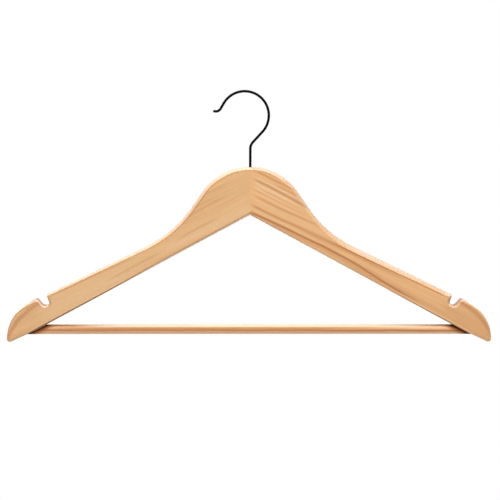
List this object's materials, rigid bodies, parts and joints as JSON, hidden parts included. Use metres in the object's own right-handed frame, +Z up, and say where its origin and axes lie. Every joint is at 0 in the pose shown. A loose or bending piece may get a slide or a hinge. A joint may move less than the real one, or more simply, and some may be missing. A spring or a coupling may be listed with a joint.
{
  "type": "clothes hanger",
  "caption": "Flat wooden clothes hanger with a swivelling wire hook, strap notches near the tips and a round trouser bar between the arms.",
  "frame": {"origin": "underside of the hook's crown, where the rail carries the hanger, in the middle of the board's thickness", "axes": "+X along the arms, to the right when the front face is seen; +Y from the front face to the back face, and along the rail; +Z up"},
  "size_m": [0.446, 0.012, 0.2305],
  "materials": {
    "wood_left": "pale hardwood with a faint even grain under clear satin varnish",
    "wood_right": "pale hardwood with darker growth streaks under clear satin varnish",
    "wood_bar": "turned pale hardwood dowel under clear satin varnish",
    "hook_metal": "polished wire plated in black chrome",
    "fastener_steel": "zinc-plated steel",
    "brad_steel": "bright drawn steel"
  },
  "bodies": {
    "hook": {"hook": "hook_metal", "thrust_washer": "fastener_steel", "hook_nut": "fastener_steel"},
    "frame": {"left_arm": "wood_left", "right_arm": "wood_right", "trouser_bar": "wood_bar", "left_bar_brad": "brad_steel", "right_bar_brad": "brad_steel"}
  },
  "joints": [
    {"name": "hook_swivel", "type": "hinge", "parent": "hook", "child": "frame", "pos_m": [0.0052, 0, -0.0671], "axis": [0, 0, 1], "continuous": true}
  ]
}
